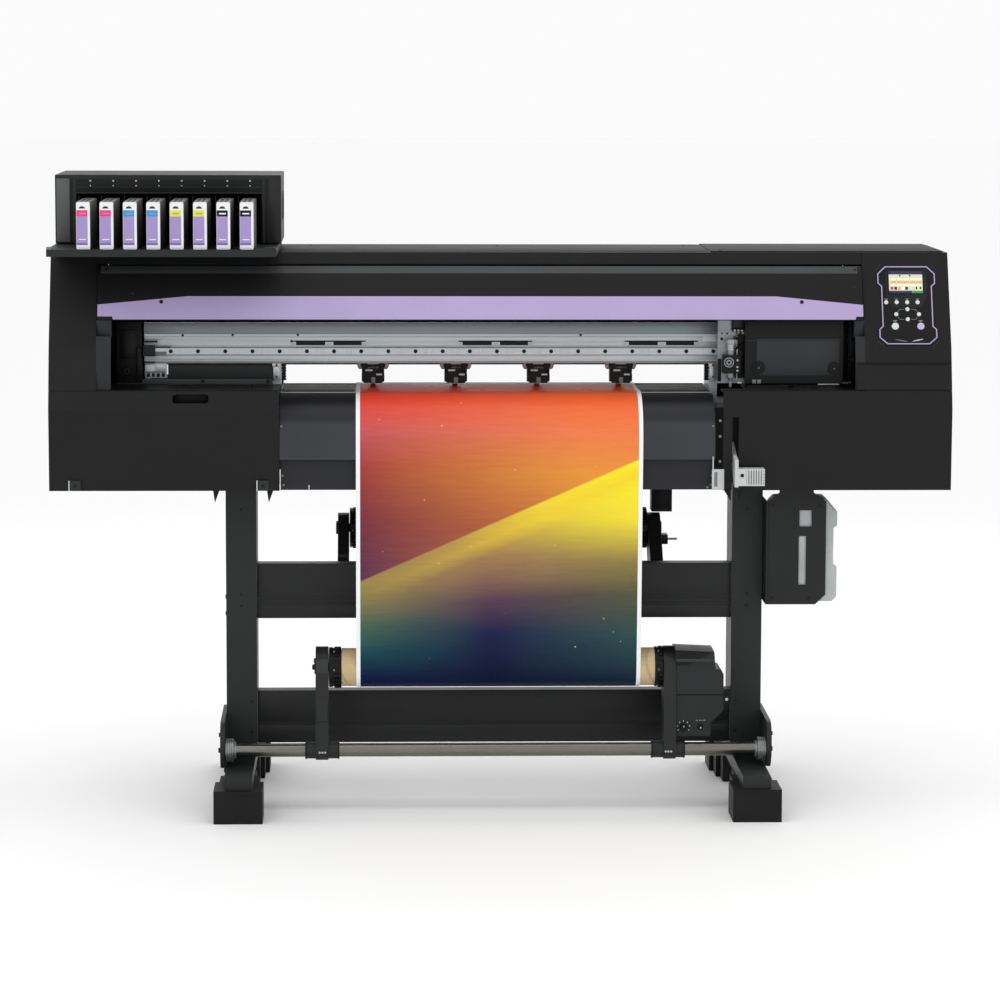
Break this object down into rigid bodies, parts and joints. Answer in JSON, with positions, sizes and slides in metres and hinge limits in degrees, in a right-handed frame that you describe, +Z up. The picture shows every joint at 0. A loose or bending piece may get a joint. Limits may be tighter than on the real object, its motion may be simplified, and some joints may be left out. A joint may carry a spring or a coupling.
{
  "type": "roll-fed printer cutter",
  "caption": "Wide roll-fed inkjet printer cutter on a floor stand, with an ink cartridge unit, control panel, cutting carriage, supply roll and motor-driven take-up roll.",
  "frame": {"origin": "on the floor under the middle of the machine, at the centre of its overall box", "axes": "+X to the right seen from the front, +Y to the back, +Z up"},
  "size_m": [1.965, 0.7, 1.392],
  "materials": {
    "cover_plastic": "fine-textured charcoal moulding",
    "stand_steel": "black powder coat",
    "frame_steel": "black paint, satin",
    "rail_steel": "drawn tube, brushed",
    "platen_aluminium": "anodised, warm grey",
    "apron_steel": "satin black paint",
    "front_cover_plastic": "charcoal with a violet trim band",
    "panel_plastic": "black fascia, fine texture",
    "key_white": "satin white",
    "key_violet": "satin violet",
    "bar_aluminium": "anodised extrusion",
    "roller_steel": "knurled grit bands on a ground shaft",
    "carriage_plastic": "black moulding",
    "pen_steel": "turned steel",
    "lever_plastic": "light grey moulding, ribbed grip",
    "ink_unit_plastic": "fine-textured dark grey moulding",
    "cartridge_plastic": "white case with a printed label",
    "tank_plastic": "translucent natural polyethylene",
    "arm_plastic": "black moulding",
    "holder_plastic": "black glass-filled nylon",
    "knob_plastic": "black, fine ribs",
    "pinch_plastic": "black moulding with a rubber roller",
    "core_card": "spiral-wound card, white media on it",
    "printed_media": "white film with an abstract print"
  },
  "bodies": {
    "machine": {"left_leg": "stand_steel", "right_leg": "stand_steel", "upper_crossbeam": "stand_steel", "lower_crossbeam": "stand_steel", "take_up_rail": "rail_steel", "base_frame": "frame_steel", "platen": "platen_aluminium", "front_apron": "apron_steel", "rear_guide": "apron_steel", "left_lower_cover": "cover_plastic", "right_lower_cover": "cover_plastic", "left_side_cover": "cover_plastic", "right_side_cover": "cover_plastic", "top_cover": "cover_plastic", "control_panel": "panel_plastic", "y_bar": "bar_aluminium", "ink_housing": "ink_unit_plastic", "ink_shelf": "ink_unit_plastic", "waste_tank_bracket": "stand_steel", "take_up_drive": "arm_plastic", "supply_right_bracket": "arm_plastic", "media_web": "printed_media"},
    "front_cover": {"front_cover": "front_cover_plastic"},
    "print_carriage": {"print_carriage": "carriage_plastic"},
    "cutter_pen": {"cutter_pen": "pen_steel"},
    "clamp_lever": {"clamp_lever": "lever_plastic"},
    "pinch_arm_1": {"pinch_arm_1": "pinch_plastic"},
    "pinch_arm_2": {"pinch_arm_2": "pinch_plastic"},
    "pinch_arm_3": {"pinch_arm_3": "pinch_plastic"},
    "pinch_arm_4": {"pinch_arm_4": "pinch_plastic"},
    "grit_roller": {"grit_roller": "roller_steel"},
    "take_up_roll": {"take_up_roll": "core_card", "drive_core_holder": "holder_plastic"},
    "take_up_left_arm": {"take_up_left_arm": "arm_plastic"},
    "left_core_holder": {"left_core_holder": "holder_plastic"},
    "supply_roll": {"supply_roll": "core_card", "supply_right_flange": "holder_plastic"},
    "supply_left_bracket": {"supply_left_bracket": "arm_plastic"},
    "supply_left_flange": {"supply_left_flange": "holder_plastic"},
    "waste_tank": {"waste_tank": "tank_plastic"},
    "cartridge_1": {"cartridge_1": "cartridge_plastic"},
    "cartridge_2": {"cartridge_2": "cartridge_plastic"},
    "cartridge_3": {"cartridge_3": "cartridge_plastic"},
    "cartridge_4": {"cartridge_4": "cartridge_plastic"},
    "cartridge_5": {"cartridge_5": "cartridge_plastic"},
    "cartridge_6": {"cartridge_6": "cartridge_plastic"},
    "cartridge_7": {"cartridge_7": "cartridge_plastic"},
    "cartridge_8": {"cartridge_8": "cartridge_plastic"},
    "key_function_1": {"key_function_1": "key_white"},
    "key_function_2": {"key_function_2": "key_white"},
    "key_function_3": {"key_function_3": "key_white"},
    "key_function_4": {"key_function_4": "key_white"},
    "key_jog_back": {"key_jog_back": "key_white"},
    "key_jog_left": {"key_jog_left": "key_white"},
    "key_jog_right": {"key_jog_right": "key_white"},
    "key_jog_front": {"key_jog_front": "key_white"},
    "key_remote": {"key_remote": "key_white"},
    "key_enter": {"key_enter": "key_violet"},
    "speed_knob": {"speed_knob": "knob_plastic"},
    "direction_switch": {"direction_switch": "knob_plastic"}
  },
  "joints": [
    {"name": "front_cover_hinge", "type": "hinge", "parent": "machine", "child": "front_cover", "pos_m": [0, -0.122, 1.193], "axis": [-1, 0, 0], "range_deg": [0, 70]},
    {"name": "carriage_slide", "type": "slide", "parent": "machine", "child": "print_carriage", "axis": [-1, 0, 0], "range_m": [0, 0.975]},
    {"name": "cutter_pen_slide", "type": "slide", "parent": "print_carriage", "child": "cutter_pen", "axis": [0, 0, -1], "range_m": [0, 0.006], "stiffness_N_per_m": 150, "springref_m": -0.01},
    {"name": "clamp_lever_hinge", "type": "hinge", "parent": "machine", "child": "clamp_lever", "pos_m": [0.5088, -0.15, 0.795], "axis": [-1, 0, 0], "range_deg": [0, 40]},
    {"name": "pinch_arm_1_hinge", "type": "hinge", "parent": "machine", "child": "pinch_arm_1", "pos_m": [-0.28, 0.01, 0.964], "axis": [1, 0, 0], "range_deg": [0, 8]},
    {"name": "pinch_arm_2_hinge", "type": "hinge", "parent": "machine", "child": "pinch_arm_2", "pos_m": [-0.096, 0.01, 0.964], "axis": [1, 0, 0], "range_deg": [0, 8]},
    {"name": "pinch_arm_3_hinge", "type": "hinge", "parent": "machine", "child": "pinch_arm_3", "pos_m": [0.088, 0.01, 0.964], "axis": [1, 0, 0], "range_deg": [0, 8]},
    {"name": "pinch_arm_4_hinge", "type": "hinge", "parent": "machine", "child": "pinch_arm_4", "pos_m": [0.272, 0.01, 0.964], "axis": [1, 0, 0], "range_deg": [0, 8]},
    {"name": "grit_roller_spin", "type": "hinge", "parent": "machine", "child": "grit_roller", "pos_m": [0, 0.078, 0.906], "axis": [1, 0, 0], "continuous": true},
    {"name": "take_up_spin", "type": "hinge", "parent": "machine", "child": "take_up_roll", "pos_m": [0, -0.15, 0.311], "axis": [1, 0, 0], "continuous": true},
    {"name": "take_up_arm_slide", "type": "slide", "parent": "machine", "child": "take_up_left_arm", "axis": [-1, 0, 0], "range_m": [0, 0.1]},
    {"name": "left_core_holder_spin", "type": "hinge", "parent": "take_up_left_arm", "child": "left_core_holder", "pos_m": [0, -0.15, 0.311], "axis": [1, 0, 0], "continuous": true},
    {"name": "supply_spin", "type": "hinge", "parent": "machine", "child": "supply_roll", "pos_m": [0, 0.15, 0.583], "axis": [1, 0, 0], "continuous": true},
    {"name": "supply_bracket_slide", "type": "slide", "parent": "machine", "child": "supply_left_bracket", "axis": [-1, 0, 0], "range_m": [0, 0.1]},
    {"name": "supply_left_flange_spin", "type": "hinge", "parent": "supply_left_bracket", "child": "supply_left_flange", "pos_m": [0, 0.15, 0.583], "axis": [1, 0, 0], "continuous": true},
    {"name": "waste_tank_slide", "type": "slide", "parent": "machine", "child": "waste_tank", "axis": [1, 0, 0], "range_m": [0, 0.16]},
    {"name": "cartridge_1_slide", "type": "slide", "parent": "machine", "child": "cartridge_1", "axis": [0, -1, 0], "range_m": [0, 0.09]},
    {"name": "cartridge_2_slide", "type": "slide", "parent": "machine", "child": "cartridge_2", "axis": [0, -1, 0], "range_m": [0, 0.09]},
    {"name": "cartridge_3_slide", "type": "slide", "parent": "machine", "child": "cartridge_3", "axis": [0, -1, 0], "range_m": [0, 0.09]},
    {"name": "cartridge_4_slide", "type": "slide", "parent": "machine", "child": "cartridge_4", "axis": [0, -1, 0], "range_m": [0, 0.09]},
    {"name": "cartridge_5_slide", "type": "slide", "parent": "machine", "child": "cartridge_5", "axis": [0, -1, 0], "range_m": [0, 0.09]},
    {"name": "cartridge_6_slide", "type": "slide", "parent": "machine", "child": "cartridge_6", "axis": [0, -1, 0], "range_m": [0, 0.09]},
    {"name": "cartridge_7_slide", "type": "slide", "parent": "machine", "child": "cartridge_7", "axis": [0, -1, 0], "range_m": [0, 0.09]},
    {"name": "cartridge_8_slide", "type": "slide", "parent": "machine", "child": "cartridge_8", "axis": [0, -1, 0], "range_m": [0, 0.09]},
    {"name": "key_function_1_press", "type": "slide", "parent": "machine", "child": "key_function_1", "axis": [0, 0.9247, -0.3808], "range_m": [0, 0.0015], "stiffness_N_per_m": 400, "springref_m": -0.0005},
    {"name": "key_function_2_press", "type": "slide", "parent": "machine", "child": "key_function_2", "axis": [0, 0.9247, -0.3808], "range_m": [0, 0.0015], "stiffness_N_per_m": 400, "springref_m": -0.0005},
    {"name": "key_function_3_press", "type": "slide", "parent": "machine", "child": "key_function_3", "axis": [0, 0.9247, -0.3808], "range_m": [0, 0.0015], "stiffness_N_per_m": 400, "springref_m": -0.0005},
    {"name": "key_function_4_press", "type": "slide", "parent": "machine", "child": "key_function_4", "axis": [0, 0.9247, -0.3808], "range_m": [0, 0.0015], "stiffness_N_per_m": 400, "springref_m": -0.0005},
    {"name": "key_jog_back_press", "type": "slide", "parent": "machine", "child": "key_jog_back", "axis": [0, 0.9247, -0.3808], "range_m": [0, 0.0015], "stiffness_N_per_m": 400, "springref_m": -0.0005},
    {"name": "key_jog_left_press", "type": "slide", "parent": "machine", "child": "key_jog_left", "axis": [0, 0.9247, -0.3808], "range_m": [0, 0.0015], "stiffness_N_per_m": 400, "springref_m": -0.0005},
    {"name": "key_jog_right_press", "type": "slide", "parent": "machine", "child": "key_jog_right", "axis": [0, 0.9247, -0.3808], "range_m": [0, 0.0015], "stiffness_N_per_m": 400, "springref_m": -0.0005},
    {"name": "key_jog_front_press", "type": "slide", "parent": "machine", "child": "key_jog_front", "axis": [0, 0.9247, -0.3808], "range_m": [0, 0.0015], "stiffness_N_per_m": 400, "springref_m": -0.0005},
    {"name": "key_remote_press", "type": "slide", "parent": "machine", "child": "key_remote", "axis": [0, 0.9247, -0.3808], "range_m": [0, 0.0015], "stiffness_N_per_m": 400, "springref_m": -0.0005},
    {"name": "key_enter_press", "type": "slide", "parent": "machine", "child": "key_enter", "axis": [0, 0.9247, -0.3808], "range_m": [0, 0.0015], "stiffness_N_per_m": 400, "springref_m": -0.0005},
    {"name": "speed_knob_turn", "type": "hinge", "parent": "machine", "child": "speed_knob", "pos_m": [0.403, -0.196, 0.183], "axis": [0, -1, 0], "range_deg": [-50, 50]},
    {"name": "direction_switch_tilt", "type": "hinge", "parent": "machine", "child": "direction_switch", "pos_m": [0.44, -0.1975, 0.183], "axis": [0, 0, 1], "range_deg": [-12, 12]}
  ],
  "couplings": [
    {"joint": "pinch_arm_1_hinge", "follows": "clamp_lever_hinge", "ratio": 0.2},
    {"joint": "pinch_arm_2_hinge", "follows": "clamp_lever_hinge", "ratio": 0.2},
    {"joint": "pinch_arm_3_hinge", "follows": "clamp_lever_hinge", "ratio": 0.2},
    {"joint": "pinch_arm_4_hinge", "follows": "clamp_lever_hinge", "ratio": 0.2},
    {"joint": "take_up_spin", "follows": "grit_roller_spin", "ratio": 0.27586},
    {"joint": "left_core_holder_spin", "follows": "grit_roller_spin", "ratio": 0.27586},
    {"joint": "supply_spin", "follows": "grit_roller_spin", "ratio": 0.2},
    {"joint": "supply_left_flange_spin", "follows": "grit_roller_spin", "ratio": 0.2}
  ]
}
